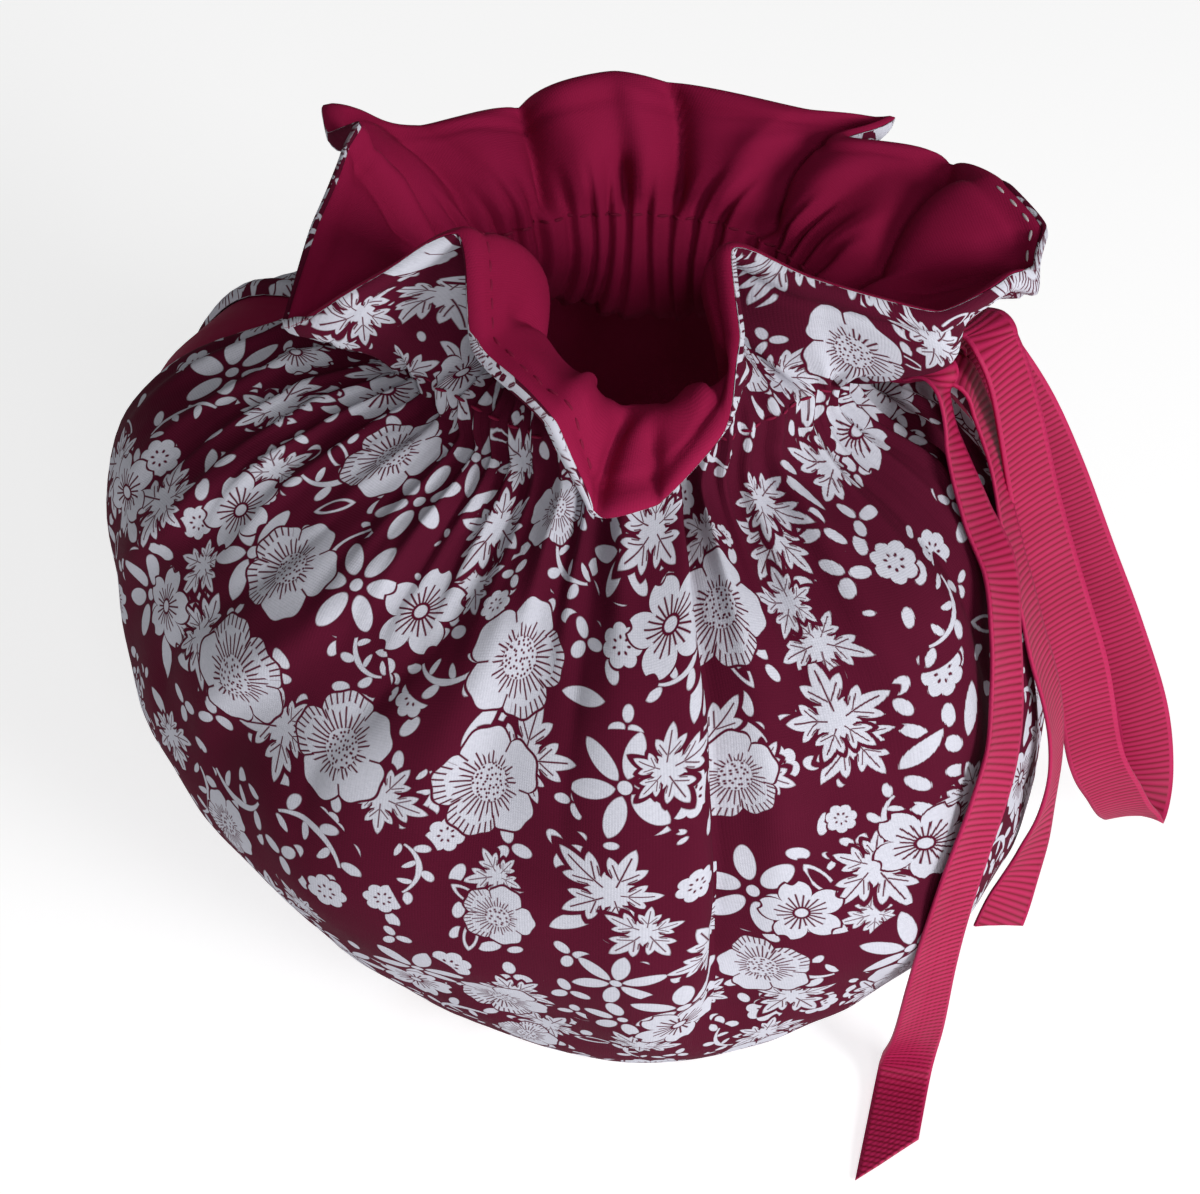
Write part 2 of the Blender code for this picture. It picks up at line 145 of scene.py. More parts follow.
# The frill's free edge, "lean" out or in between neck and edge
FRILL = [
    # turn     x      y      z    lean  rise
    (270.0,  -1.0, -50.0, 122.5,   0.0, 17.0),      # front tip
    (279.0,   8.0, -50.0, 125.5,   0.0, 16.0),
    (291.0,  17.0, -43.0, 132.5,  -2.0, 14.0),
    (305.0,  19.5, -31.0, 141.0, -15.0, 12.0),      # right fold
    (316.0,  19.0, -20.0, 149.0, -21.0, 12.0),
    (327.0,  30.0, -22.0, 145.5,   2.0, 10.0),
    (343.0,  49.0, -25.0, 141.5,  19.0,  0.0),      # right notch
    (358.0,  61.0, -11.0, 139.5,  13.0,  2.0),
    (11.0,   69.0,   2.0, 139.0,   6.0, 10.0),      # right tip
    (22.5,   63.0,  14.5, 141.0,   2.0, 12.0),
    (34.0,   55.0,  24.0, 141.0,   1.0, 12.0),
    (48.0,   40.0,  30.0, 139.5,   1.0, 12.0),      # pleat
    (57.0,   48.0,  36.0, 140.5,   1.0, 12.0),
    (69.0,   33.5,  38.5, 140.5,   1.0, 12.0),
    (92.0,    2.0,  45.0, 144.0,   1.0, 12.0),      # back peak
    (108.0, -15.0,  43.0, 139.5,   1.0, 12.0),
    (125.0, -32.5,  35.0, 138.0,   1.0, 12.0),
    (140.0, -45.5,  30.0, 146.0,   1.0, 12.0),
    (149.0, -44.5,  22.5, 145.0,   0.0, 12.0),
    (157.0, -39.5,  17.5, 149.0,   0.0, 12.0),      # left peak
    (175.0, -45.5,   0.5, 141.0,   1.0, 12.0),
    (194.0, -48.5, -18.0, 134.0,   3.0, 11.0),      # left corner
    (207.0, -39.0, -23.5, 143.0,   0.0, 12.0),
    (223.0, -21.5, -20.5, 152.5, -28.0, 12.0),
    (240.0, -19.0, -36.0, 142.5, -22.0, 13.0),      # left fold
    (256.0,  -8.0, -47.0, 136.5,  -2.0, 15.0),
]

# Creases of the frill: turn at the casing, turn at the edge, half width, depth, start, end.
# Positive ones are valleys of the lining.
FRILL_CREASES = [
    (272.0, 269.5, 2.2,  2.4, 0.40, 1.00),
    (274.0, 278.0, 2.2,  1.6, 0.60, 1.00),
    (256.0, 258.0, 4.5, -1.6, 0.05, 0.80),
    (287.0, 289.0, 4.0, -1.2, 0.05, 0.70),
    (296.0, 300.0, 2.6,  1.4, 0.30, 0.90),
    (350.0, 349.0, 4.0, -1.2, 0.10, 0.90),
    (6.0,     4.0, 2.8,  3.0, 0.30, 1.00),
    (9.0,    33.0, 3.0,  3.6, 0.05, 1.00),
    (20.0,   19.0, 6.0, -1.6, 0.15, 0.90),
    (38.0,   44.0, 4.0, -1.4, 0.10, 0.95),
    (46.0,   61.0, 2.8,  3.0, 0.00, 0.95),
    (62.0,   72.0, 4.0, -1.4, 0.10, 0.90),
    (76.5,   85.0, 2.0,  2.7, 0.00, 1.00),
    (84.0,   90.0, 3.0, -1.2, 0.10, 0.90),
    (91.0,   94.0, 2.0,  2.0, 0.00, 0.36),
    (101.0, 100.0, 5.0, -1.6, 0.10, 1.00),
    (114.0, 107.5, 2.6,  2.9, 0.00, 1.00),
    (124.0, 118.0, 5.0, -1.5, 0.05, 0.95),
    (135.0, 131.0, 3.0,  1.6, 0.00, 0.80),
    (150.0, 146.0, 2.5,  1.8, 0.20, 0.60),
    (165.0, 161.5, 3.0,  1.8, 0.35, 0.95),
    (182.0, 183.0, 4.5, -1.2, 0.00, 0.90),
    (200.0, 199.0, 3.5,  1.4, 0.00, 0.90),
    (214.0, 213.0, 4.0, -1.2, 0.20, 0.90),
    (238.0, 236.0, 3.0,  1.4, 0.10, 0.80),
]

EDGE_BANDS = [(178.0, 24.0), (254.0, 18.0), (12.0, 11.0)]   # where the print shows over the edge
EDGE_STITCH = 4.6   # distance of the top stitching from the frill's edge
CRISP = 0.55        # how straight the frill's edge runs between its corners, 1 for a smooth wave

# Ribbon tie: x, y, z and the bearing of the ribbon's width
RIBBON_WIDTH = 10.0
TAIL_WIDTH = 9.2                        # the tails, a little cupped
RIBBON_THICK = 0.6
RIB = 1.13
SELVAGE = 4.1                           # from the ribbon's middle to its plain edges
FRONT_TAIL = [
    ( 50.2,  -7.0, 121.4,   78.0),
    ( 52.4, -11.7, 120.6,   82.0),
    ( 54.4, -16.2, 113.0,   80.0),
    ( 58.0, -23.4, 105.2,   70.0),
    ( 61.8, -30.0,  98.8,   63.0),
    ( 62.6, -36.8,  92.2,   60.0),
    ( 62.8, -42.4,  84.0,   54.0),
    ( 62.2, -47.1,  76.5,   50.0),
    ( 60.1, -51.7,  69.0,   42.0),
    ( 57.6, -55.0,  60.0,   36.0),
    ( 55.4, -56.8,  48.0,   32.0),
    ( 53.8, -55.8,  32.0,   26.0),
    ( 53.2, -53.0,  17.0,   16.0),
    ( 52.7, -50.2,   7.0,    0.0),
    ( 51.9, -51.8,   1.6,  -10.0),
    ( 48.0, -67.8,   0.5,  -15.0),
]
FRONT_TAIL_CUT = 11.0
BACK_TAIL = [
    ( 53.0,  -3.4, 119.6,   80.0),
    ( 57.4,  -4.9, 117.6,   80.0),
    ( 59.8,  -6.6, 113.0,   76.0),
    ( 62.2, -10.2, 107.0,   76.0),
    ( 64.2, -14.4,  99.6,   77.0),
    ( 66.4, -19.2,  92.5,   75.0),
    ( 68.6, -22.2,  85.9,   73.0),
    ( 70.5, -24.8,  79.0,   70.0),
    ( 73.1, -26.5,  70.4,   70.0),
    ( 74.8, -27.0,  62.0,   70.0),
    ( 75.6, -27.0,  52.9,   68.0),
    ( 75.3, -27.0,  43.5,   60.0),
    ( 73.8, -28.9,  36.0,   44.0),
    ( 71.2, -31.6,  29.0,   30.0),
    ( 68.4, -35.2,  23.6,   22.0),
]
BACK_TAIL_CUT = 3.0
LOOP = [
    ( 51.5,   1.6, 121.2,   60.0),
    ( 56.8,   1.6, 123.6,   46.0),
    ( 60.2,  -0.6, 124.4,   38.0),
    ( 62.0,  -3.2, 122.4,   46.0),
    ( 64.2,  -4.8, 117.6,   46.0),
    ( 66.9,  -6.8, 109.0,   40.0),
    ( 71.2,  -9.0,  93.4,   32.0),
    ( 76.3, -10.6,  77.2,   25.0),
    ( 82.0, -10.8,  60.0,   16.0),
    ( 87.2,  -9.5,  39.7,   10.0),
    ( 92.4,  -6.0,  28.0,    6.0),
    ( 96.5,  -2.0,  19.5,    3.0),
    (100.0,   2.0,  15.5,    0.0),
    (101.5,   6.5,  20.5,    3.0),
    ( 99.0,   9.0,  34.0,    8.0),
    ( 92.0,  10.0,  53.0,    6.0),
    ( 84.5,   9.5,  71.0,    6.0),
    ( 77.5,   8.5,  88.0,    8.0),
    ( 71.0,   7.5, 102.0,   10.0),
    ( 65.0,   6.5, 112.0,   12.0),
    ( 60.5,   6.2, 118.0,   14.0),
    ( 56.6,   4.2, 120.6,   40.0),
    ( 51.5,   1.0, 120.6,   60.0),
]
KNOT = (48.0, -2.0, 120.5)
KNOT_SIZE = (14.5, 14.0, 8.0)


def bell(turn, middle, half):
    away = (turn - middle + 180.0) % 360.0 - 180.0
    return np.exp(-math.log(2.0) * (away / half) ** 2)


def crease_line(turn, middle, half):
    """Like bell, with a sharp middle."""
    away = (turn - middle + 180.0) % 360.0 - 180.0
    return np.exp(-(np.sqrt(away ** 2 + 0.16) - 0.4) / half)


def ease(value):
    value = np.clip(value, 0.0, 1.0)
    return value * value * (3.0 - 2.0 * value)


def radial(turn):
    turn = np.radians(turn)
    return np.stack([np.cos(turn), np.sin(turn), np.zeros_like(turn)], axis=-1)


def spline(values, place):
    """A smooth curve through a list of values, read at fractional places."""
    values = np.asarray(values, float)
    values = np.concatenate([[2 * values[0] - values[1]], values, [2 * values[-1] - values[-2]]])
    start = np.clip(np.floor(place).astype(int), 0, len(values) - 4)
    part = place - start
    if values.ndim > 1:
        part = part[..., None]
    before, this, following, after = (values[start + step] for step in range(4))
    return 0.5 * (2 * this + part * (following - before)
                  + part ** 2 * (2 * before - 5 * this + 4 * following - after)
                  + part ** 3 * (3 * this - before - 3 * following + after))


def section(column, row):
    return spline([line[column] for line in SECTIONS], row)


def creases(table, turn, height, over=10.0, valley=bell):
    depth = np.zeros_like(turn)
    for high, low, half, deep, top, bottom in table:
        down = ease((top - height) / (top - bottom))
        strength = ease((top + over - height) / (2 * over)) * ease((height - bottom + 18.0) / 36.0)
        line = valley if deep < 0 else bell
        depth = depth + deep * strength * line(turn, high + (low - high) * down, half)
    return depth


def drawn_apart(turn, row, radius, half_column):
    """The cloth beside an opening, its lips drawn apart."""
    for side, first, last, width in SLITS:
        share = np.clip((row - first) / (last - first), 0.0, 1.0)
        drawn = width / 2 * np.sin(math.pi * share) ** 0.6
        half_gap = np.maximum(np.radians(half_column) * radius, drawn)
        shift = np.degrees(half_gap / radius) - half_column
        away = (turn - side + 180.0) % 360.0 - 180.0
        fade = np.cos(math.pi / 2 * np.clip((np.abs(away) - half_column) / SLIT_REACH, 0.0, 1.0)) ** 2
        turn = turn + np.sign(away) * shift * fade
    return turn


def bag(turn, row, half_column):
    """Points of the bag on the seam face between the two layers."""
    height = np.maximum(section(0, row), 0.0)
    radius = section(1, row)
    spout = section(2, row)
    turn = drawn_apart(turn, row, radius + spout, half_column)
    near_spout = bell(turn, SPOUT_SIDE, SPOUT_SPREAD)
    radius = radius + spout * near_spout + section(4, row) * bell(turn, HANDLE_SIDE, HANDLE_SPREAD)
    radius = radius + creases(FOLDS, turn, height)
    shift = BAG_SHIFT + NECK_SHIFT * ease((row - NECK_START) / (CASING - 1 - NECK_START))
    points = radial(turn) * radius[..., None]
    points[..., 0] += shift
    points[..., 2] += height + section(3, row) * near_spout + LIFT
    return points


def frill_edge(turn):
    """Edge point, lean and rise of the frill at these angles."""
    keys = np.array([row[0] + (360.0 if row[0] < FRILL[0][0] else 0.0) for row in FRILL])
    table = np.array([row[1:] for row in FRILL])
    count = len(keys)
    turn = (turn - keys[0]) % 360.0 + keys[0]
    this = np.searchsorted(keys, turn, side="right") - 1
    wide_keys = np.concatenate([keys[-1:] - 360.0, keys, keys[:2] + 360.0])
    wide = np.concatenate([table[-1:], table, table[:2]])
    slope = CRISP * (wide[2:] - wide[:-2]) / (wide_keys[2:] - wide_keys[:-2])[:, None]
    span = (wide_keys[this + 2] - wide_keys[this + 1])[:, None]
    part = ((turn - wide_keys[this + 1])[:, None]) / span
    start, end = wide[this + 1], wide[this + 2]
    return (start * (1 + 2 * part) * (1 - part) ** 2 + end * part ** 2 * (3 - 2 * part)
            + slope[this] * span * part * (1 - part) ** 2
            + slope[(this + 1) % (count + 1)] * span * part ** 2 * (part - 1))


def ripples(turn):
    """The uneven gathers drawn in at the casing."""
    turn = np.radians(turn)
    phase = 49 * turn + 2.6 * np.sin(3 * turn + 0.7) + 1.7 * np.sin(7 * turn + 2.1) + np.sin(11 * turn)
    swell = 0.75 + 0.25 * np.sin(5 * turn + 1.2) * np.sin(8 * turn)
    return swell * (np.cos(phase) + 0.4 * np.cos(2 * phase + 0.8))


def softness(turn, along):
    """Shallow unevenness of the wadding."""
    turn = np.radians(turn)
    return (np.sin(9 * turn + along / 9.0) * np.sin(along / 7.0 + 4 * turn)
            + 0.6 * np.sin(17 * turn - along / 6.0 + 1.3) * np.sin(along / 11.0 + 1.0)
            + 0.4 * np.sin(26 * turn + along / 4.5))


class Cloth:
    """The cosy's seam face as a fine grid, with its normals, print coordinates and edge distance."""

    def __init__(self, columns, gather_reach):
        self.columns = columns
        self.gather_reach = gather_reach
        half_column = 180.0 / columns
        rows = [0.0]
        for place, line in enumerate(SECTIONS[:-1]):
            steps = max(1, line[-1])
            rows += [place + (step + 1) / steps for step in range(steps)]
        self.bag_rows = np.array(rows)
        parts = (np.arange(FRILL_ROWS) + 1.0) / FRILL_ROWS
        self.parts = 1.0 - (1.0 - parts) ** 1.25
        self.rows = len(rows) + len(parts)
        turns = np.arange(columns) * 360.0 / columns
        row, turn = np.meshgrid(self.bag_rows, turns, indexing="ij")
        base = bag(turn, row, half_column)
        edge = frill_edge(turns)
        root = base[-1]
        tip = edge[:, :3].copy()
        tip[:, 2] += LIFT
        across = tip - root
        across[:, 2] = 0.0
        middle = root + 0.25 * across + radial(turns) * edge[:, 3:4]
        middle[:, 2] += edge[:, 4]
        part = self.parts[:, None, None]
        frill = root * (1 - part) ** 2 + middle * 2 * part * (1 - part) + tip * part ** 2
        base = np.concatenate([base, frill])
        self.turn = np.broadcast_to(turns, base.shape[:2])
        self.part = np.concatenate([np.zeros(len(rows)), self.parts])[:, None] + 0 * self.turn
        self.row = np.concatenate([self.bag_rows, np.full(len(parts), CASING)])[:, None] + 0 * self.turn
        self.base = base
        self.normal = self.normals(base)
        run = np.linalg.norm(np.diff(base, axis=0), axis=2)
        self.along = np.concatenate([np.zeros((1, columns)), np.cumsum(run, axis=0)])
        self.to_edge = self.along[-1] - self.along
        height = np.where(self.part > 0, 130.0, section(0, self.row))
        self.height = height
        self.detail = self.fine_shape(height)
        self.lip = self.lip_distance(half_column)

    def normals(self, points):
        around = np.roll(points, -1, axis=1) - np.roll(points, 1, axis=1)
        up = np.gradient(points, axis=0)
        normal = np.cross(around, up)
        normal /= np.linalg.norm(normal, axis=2, keepdims=True)
        normal[self.row[:, 0] <= 1.0] = (0.0, 0.0, -1.0)
        return normal

    def fine_shape(self, height):
        """How far the gathers, creases and padding move the cloth outward."""
        turn, part = self.turn, self.part
        below = ease((height - 119.0) / self.gather_reach + 1.0)
        gather = 1.25 * np.where(part > 0, 1 - ease(part / 0.45), below)
        depth = gather * ripples(turn)
        on_bag = part <= 0
        depth += np.where(on_bag, CREASE_DEPTH * creases(CREASES, turn, height, 6.0, crease_line), 0.0)
        for at, level, wide, high, deep in DENTS:
            dent = deep * bell(turn, at, wide) * np.exp(-((height - level) / high) ** 2)
            depth += np.where(on_bag, dent, 0)
        depth += 0.3 * softness(turn, self.along) * ease((height - 6.0) / 12.0)
        for low, high, half, deep, first, last in FRILL_CREASES:
            middle = low + (high - low) * part
            fade = ease((part - first + 0.12) / 0.24) * ease((last + 0.12 - part) / 0.24)
            line, more = (crease_line, FRILL_VALLEY) if deep > 0 else (bell, FRILL_RIDGE)
            depth += np.where(on_bag, 0.0, more * deep * fade * line(turn, middle, half))
        return depth

    def lip_distance(self, half_column):
        """Distance to the nearest cut edge, in millimetres."""
        distance = np.minimum(self.to_edge, self.along + 0.4)
        radius = np.linalg.norm(self.base[..., :2], axis=2)
        for side, first, last, _ in SLITS:
            away = np.abs((self.turn - side + 180.0) % 360.0 - 180.0) - half_column
            beside = (self.row >= first) & (self.row <= last) & (self.part <= 0)
            distance = np.where(beside, np.minimum(distance, np.radians(away) * radius), distance)
        return np.maximum(distance, 0.0)

    def is_open(self, row, column):
        middle = 360.0 * (column + 0.5) / self.columns
        start, end = self.row[row, 0], self.row[row + 1, 0]
        return self.part[row + 1, 0] <= 0 and any(
            abs(middle - side) < 0.01 and start >= first and end <= last for side, first, last, _ in SLITS)

    def face(self, offset):
        """The seam face moved out by an offset, with the fine shape on it."""
        return self.base + self.normal * (self.detail + offset)[..., None]

    def along_at(self, row):
        """Distance from the hem along the cloth at a fractional section."""
        index = np.interp(row, self.bag_rows, np.arange(len(self.bag_rows)))
        return self.along[int(round(index))]

    def rounded(self, thick, radius):
        """A thickness that rounds off toward every cut edge."""
        share = np.clip(self.lip / radius, 0.0, 1.0)
        pinch = 1 - 0.6 * np.exp(-((self.to_edge - EDGE_STITCH) / 0.8) ** 2)
        return thick * np.maximum(np.sqrt(1 - (1 - share) ** 2), 0.06) * pinch


def cloth_layer(name, cloth, outside, inside):
    """A closed sheet between two faces, with a UV map in metres of cloth."""
    rows, columns = cloth.rows, cloth.columns
    count = rows * columns
    points = (np.concatenate([outside.reshape(-1, 3), inside.reshape(-1, 3)]) + AXIS) * MM
    quads, charts = [], []
    border = {}
    spread = np.radians(360.0 / columns) * BELLY
    shift = crease_shift(cloth)
    for row in range(rows - 1):
        for column in range(columns):
            if cloth.is_open(row, column):
                continue
            right = (column + 1) % columns
            a, b = row * columns + column, row * columns + right
            d, c = a + columns, b + columns
            quads.append((a, b, c, d))
            moved = shift[:, column]
            chart = [(spread * column + moved[row], cloth.along[row, column]),
                     (spread * (column + 1) + moved[row], cloth.along[row, right]),
                     (spread * (column + 1) + moved[row + 1], cloth.along[row + 1, right]),
                     (spread * column + moved[row + 1], cloth.along[row + 1, column])]
            charts.append(chart)
            for start, end in ((a, b), (b, c), (c, d), (d, a)):
                if (end, start) in border:
                    del border[(end, start)]
                else:
                    border[(start, end)] = None
    faces = list(quads)
    maps = list(charts)
    for quad, chart in zip(quads, charts):
        faces.append(tuple(count + index for index in reversed(quad)))
        maps.append(chart[::-1])
    for start, end in border:
        faces.append((end, start, start + count, end + count))
        maps.append([(0.0, cloth.along.flat[end]), (0.0, cloth.along.flat[start])] * 2)
    mesh = bpy.data.meshes.new(name)
    mesh.from_pydata(points.tolist(), [], faces)
    used = set(index for face in faces for index in face)
    layer = mesh.uv_layers.new(name="cloth")
    flat = np.array([corner for chart in maps for corner in chart]).reshape(-1)
    layer.data.foreach_set("uv", (flat * MM).astype(np.float32))
    mesh.shade_smooth()
    thing = bpy.data.objects.new(name, mesh)
    bpy.context.collection.objects.link(thing)
    if len(used) < len(points):
        select_only(thing)
        bpy.ops.object.mode_set(mode="EDIT")
        bpy.ops.mesh.select_all(action="SELECT")
        bpy.ops.mesh.delete_loose()
        bpy.ops.object.mode_set(mode="OBJECT")
    return thing


def crease_shift(cloth):
    """How far the front crease swallows the print to its right, by row and column."""
    side = (cloth.turn > 281.6) & (cloth.turn < 340.0)
    fade = ease((340.0 - cloth.turn) / 50.0)
    deep = 9.0 * ease((cloth.height - 24.0) / 50.0) * (1 - ease((cloth.part - 0.1) / 0.3))
    return np.where(side, deep * fade, 0.0)


def ribbon(name, rows, cut, material, wide=RIBBON_WIDTH):
    """A ribbed ribbon along the smooth curve through the rows, its far end cut on a slant."""
    rows = np.array(rows)
    places = np.linspace(0, len(rows) - 1, 40 * (len(rows) - 1) + 1)
    curve = spline(rows, places)
    curve[:, 2] = np.maximum(curve[:, 2], 0.5)
    centres = curve[:, :3]
    length = np.concatenate([[0.0], np.cumsum(np.linalg.norm(np.diff(centres, axis=0), axis=1))])
    whole = length[-1]
    extra = cut / 2
    run_end = centres[-1] - centres[-2]
    run_end = run_end / np.linalg.norm(run_end)
    across = 10
    steps = int(whole / (RIB / 4))
    sides = np.linspace(-1, 1, across + 1)
    share = np.linspace(0, 1, steps + 1)
    along = share[:, None] * (whole - extra * sides[None, :])
    reach = np.clip(along, 0, whole)
    column = [np.interp(reach, length, curve[:, index]) for index in range(4)]
    centre = np.stack(column[:3], axis=-1) + run_end * (along - reach)[..., None]
    bearing = np.radians(column[3])
    width = np.stack([np.cos(bearing), np.sin(bearing), np.zeros_like(bearing)], axis=-1)
    slope = np.gradient(centres, length, axis=0)
    run = np.stack([np.interp(reach, length, slope[:, index]) for index in range(3)], axis=-1)
    run /= np.linalg.norm(run, axis=2, keepdims=True)
    width = width - run * np.sum(width * run, axis=2, keepdims=True)
    width /= np.linalg.norm(width, axis=2, keepdims=True)
    facing = np.cross(run, width)
    rib = np.abs(np.sin(math.pi * along / RIB)) ** 0.7
    plain = ease((np.abs(sides) - 0.88) / 0.06)[None, :]
    half = RIBBON_THICK / 2 * (0.62 + 0.55 * rib * (1 - plain) + 0.45 * plain)
    lying = ease((6.0 - centre[..., 2]) / 5.0)
    cup = (0.35 * sides[None, :] ** 2 - 0.12) * (1 - lying)
    wave = 0.25 * np.sin(along / 9.0) * (1 - lying)
    middle = (centre + width * (sides[None, :] * wide / 2)[..., None]
              + facing * (cup + wave)[..., None])
    top = middle + facing * half[..., None]
    bottom = middle - facing * half[..., None]
    count = (steps + 1) * (across + 1)
    points = (np.concatenate([top.reshape(-1, 3), bottom.reshape(-1, 3)]) + AXIS) * MM
    points[:, 2] = np.maximum(points[:, 2], 0.0001)
    faces, maps = [], []
    chart = np.stack([(sides[None, :] * wide / 2) + 0 * along, along], axis=-1).reshape(-1, 2)
    stride = across + 1
    for step in range(steps):
        first = step * stride
        for side in range(across):
            a = first + side
            faces.append((a, a + 1, a + stride + 1, a + stride))
            faces.append((count + a + stride, count + a + stride + 1, count + a + 1, count + a))
        for a, b in ((first, first + stride), (first + stride + across, first + across)):
            faces.append((a, b, b + count, a + count))
    for side in range(across):
        faces.append((side + 1, side, side + count, side + 1 + count))
        last = steps * stride + side
        faces.append((last, last + 1, last + 1 + count, last + count))
    mesh = bpy.data.meshes.new(name)
    mesh.from_pydata(points.tolist(), [], faces)
    layer = mesh.uv_layers.new(name="cloth")
    corner = np.array([index % count for face in faces for index in face])
    layer.data.foreach_set("uv", (chart[corner] * MM).astype(np.float32).reshape(-1))
    mesh.materials.append(material)
    mesh.shade_smooth()
    thing = bpy.data.objects.new(name, mesh)
    bpy.context.collection.objects.link(thing)
    fix_facing(thing)
    return thing


DOT_PITCH = 0.8     # of the dots in a flower's heart
MOTIF_GAP = 0.45    # dark line left round a motif that lies on others
PRINT_BLUR = 0.16   # width over which the print's edge fades
THREAD_PITCH, THREAD_HEIGHT = 0.42, 0.00006     # of both cloths, in millimetres and metres
STITCH_HALF = (0.00028, 0.00024)        # half width and half height of a stitch, in metres


def select_only(thing):
    bpy.ops.object.select_all(action="DESELECT")
    thing.select_set(True)
    bpy.context.view_layer.objects.active = thing


def fix_facing(thing):
    select_only(thing)
    bpy.ops.object.mode_set(mode="EDIT")
    bpy.ops.mesh.select_all(action="SELECT")
    bpy.ops.mesh.normals_make_consistent(inside=False)
    bpy.ops.object.mode_set(mode="OBJECT")


class Finish:
    """A procedural material; its surface is one Principled shader."""

    def __init__(self, name, roughness, **sockets):
        self.material = bpy.data.materials.new(name)
        self.material.use_nodes = True
        self.tree = self.material.node_tree
        self.surface = next(node for node in self.tree.nodes if node.type == "BSDF_PRINCIPLED")
        self.surface.inputs["Roughness"].default_value = roughness
        for socket, value in sockets.items():
            self.surface.inputs[socket.replace("_", " ")].default_value = value

    def node(self, kind, sockets, out=0, **settings):
        node = self.tree.nodes.new("ShaderNode" + kind)
        for setting, value in settings.items():
            setattr(node, setting, value)
        for socket, value in sockets.items():
            self.feed(node.inputs[socket], value)
        return Flow(self, node.outputs[out])

    def feed(self, socket, value):
        if isinstance(value, Flow):
            self.tree.links.new(value.socket, socket)
        else:
            socket.default_value = value

    def set(self, socket, value):
        self.feed(self.surface.inputs[socket], value)

    def math(self, operation, *values, clamp=False):
        return self.node("Math", dict(enumerate(values)), operation=operation, use_clamp=clamp)

    def mix(self, share, first, second):
        return self.node("Mix", {0: share, 6: first, 7: second}, 2, data_type="RGBA")

    def uv(self):
        return self.node("UVMap", {}, uv_map="cloth")

    def vector(self, operation, *values):
        return self.node("VectorMath", dict(enumerate(values)), operation=operation)

    def noise(self, where, scale, detail=2.0):
        return self.node("TexNoise", {"Vector": where, "Scale": scale, "Detail": detail})

    def bump(self, height, distance, strength=1.0):
        self.set("Normal", self.node("Bump", {"Height": height, "Distance": distance, "Strength": strength}))


class Flow:
    """A value in a material. Arithmetic on it adds Math nodes."""

    def __init__(self, finish, socket):
        self.finish, self.socket = finish, socket

    def __add__(self, other):
        return self.finish.math("ADD", self, other)

    def __sub__(self, other):
        return self.finish.math("SUBTRACT", self, other)

    def __rsub__(self, other):
        return self.finish.math("SUBTRACT", other, self)

    def __mul__(self, other):
        return self.finish.math("MULTIPLY", self, other)

    def __truediv__(self, other):
        return self.finish.math("DIVIDE", self, other)

    def __rtruediv__(self, other):
        return self.finish.math("DIVIDE", other, self)

    def __pow__(self, other):
        return self.finish.math("POWER", self, other)

    def __abs__(self):
        return self.finish.math("ABSOLUTE", self)

    def __lt__(self, other):
        return self.finish.math("LESS_THAN", self, other)

    def __gt__(self, other):
        return self.finish.math("GREATER_THAN", self, other)

    def cos(self):
        return self.finish.math("COSINE", self)

    def sin(self):
        return self.finish.math("SINE", self)

    def frac(self):
        return self.finish.math("FRACT", self)

    def least(self, *others):
        value = self
        for other in others:
            value = self.finish.math("MINIMUM", value, other)
        return value

    def most(self, *others):
        value = self
        for other in others:
            value = self.finish.math("MAXIMUM", value, other)
        return value


class Motif:
    """Place in one cell of the print's scatter, in millimetres, with the cell's chance values."""

    def __init__(self, finish, where, pitch, loose, seed, reach):
        self.finish = finish
        spot = finish.vector("MULTIPLY", where, (1000.0 / pitch, 1000.0 / pitch, 0.0))
        spot = finish.vector("ADD", spot, (seed, 0.7 * seed, 0.0))
        cell = {"Vector": spot, "Scale": 1.0, "Randomness": loose}
        middle = finish.node("TexVoronoi", cell, "Position", voronoi_dimensions="2D")
        chance = Flow(finish, middle.socket.node.outputs["Color"])
        free = finish.node("TexVoronoi", cell, "Radius", voronoi_dimensions="2D", feature="N_SPHERE_RADIUS")
        split = finish.node("SeparateColor", {0: chance})
        self.chance = [Flow(finish, split.socket.node.outputs[index]) for index in range(3)]
        self.size = (free * (pitch / reach)).least(1.0)
        local = finish.vector("SUBTRACT", spot, middle)
        local = finish.node("VectorRotate", {"Vector": local, "Angle": self.chance[1] * (2 * math.pi)},
                            rotation_type="Z_AXIS")
        split = finish.node("SeparateXYZ", {0: local})
        grow = pitch / self.size
        self.x = split * grow
        self.y = Flow(finish, split.socket.node.outputs[1]) * grow
        self.r = self.far(self.x, self.y)
        self.a = finish.math("ARCTAN2", self.y, self.x)

    def far(self, x, y):
        return self.finish.math("POWER", x * x + y * y, 0.5)

    def sector(self, count):
        """Angle from the middle of the nearest of so many equal sectors."""
        return ((self.a * (count / (2 * math.pi)) + 0.5).frac() - 0.5) * (2 * math.pi / count)

    def oval(self, x, y, long, short):
        """Depth inside an oval about the origin of x and y."""
        return short - self.far(x * (short / long), y)

    def dashes(self, count, half):
        """Depth inside thin lines that run out from the middle."""
        return half - abs(self.sector(count)) * self.r


def poppy(m, fine):
    """Five broad petals round a dotted heart with a fringe."""
    lobe = abs((m.a * 2.5 + 0.3).sin())
    rim = lobe ** 0.5 * 2.3 + 6.6 + (m.a * 13.0).sin() * 0.2
    form = rim - m.r
    heart = m.r * -1.0 + 3.3
    dots = (fine * -1.0 + 0.21).least(heart)
    reach = abs((m.a * 6.5).sin()) * 1.7 + 4.1 + m.a.cos() * 1.0
    fringe = m.dashes(34, 0.15).least(m.r - 3.1, reach - m.r)
    petals = (lobe * m.r * -0.4 + 0.16).least(m.r - 5.4)
    rim_fringe = m.dashes(48, 0.15).least(1.7 - form, m.a.cos() * 4.0 - 1.6)
    return form, form.least(dots * -1.0, fringe * -1.0, petals * -1.0, rim_fringe * -1.0)


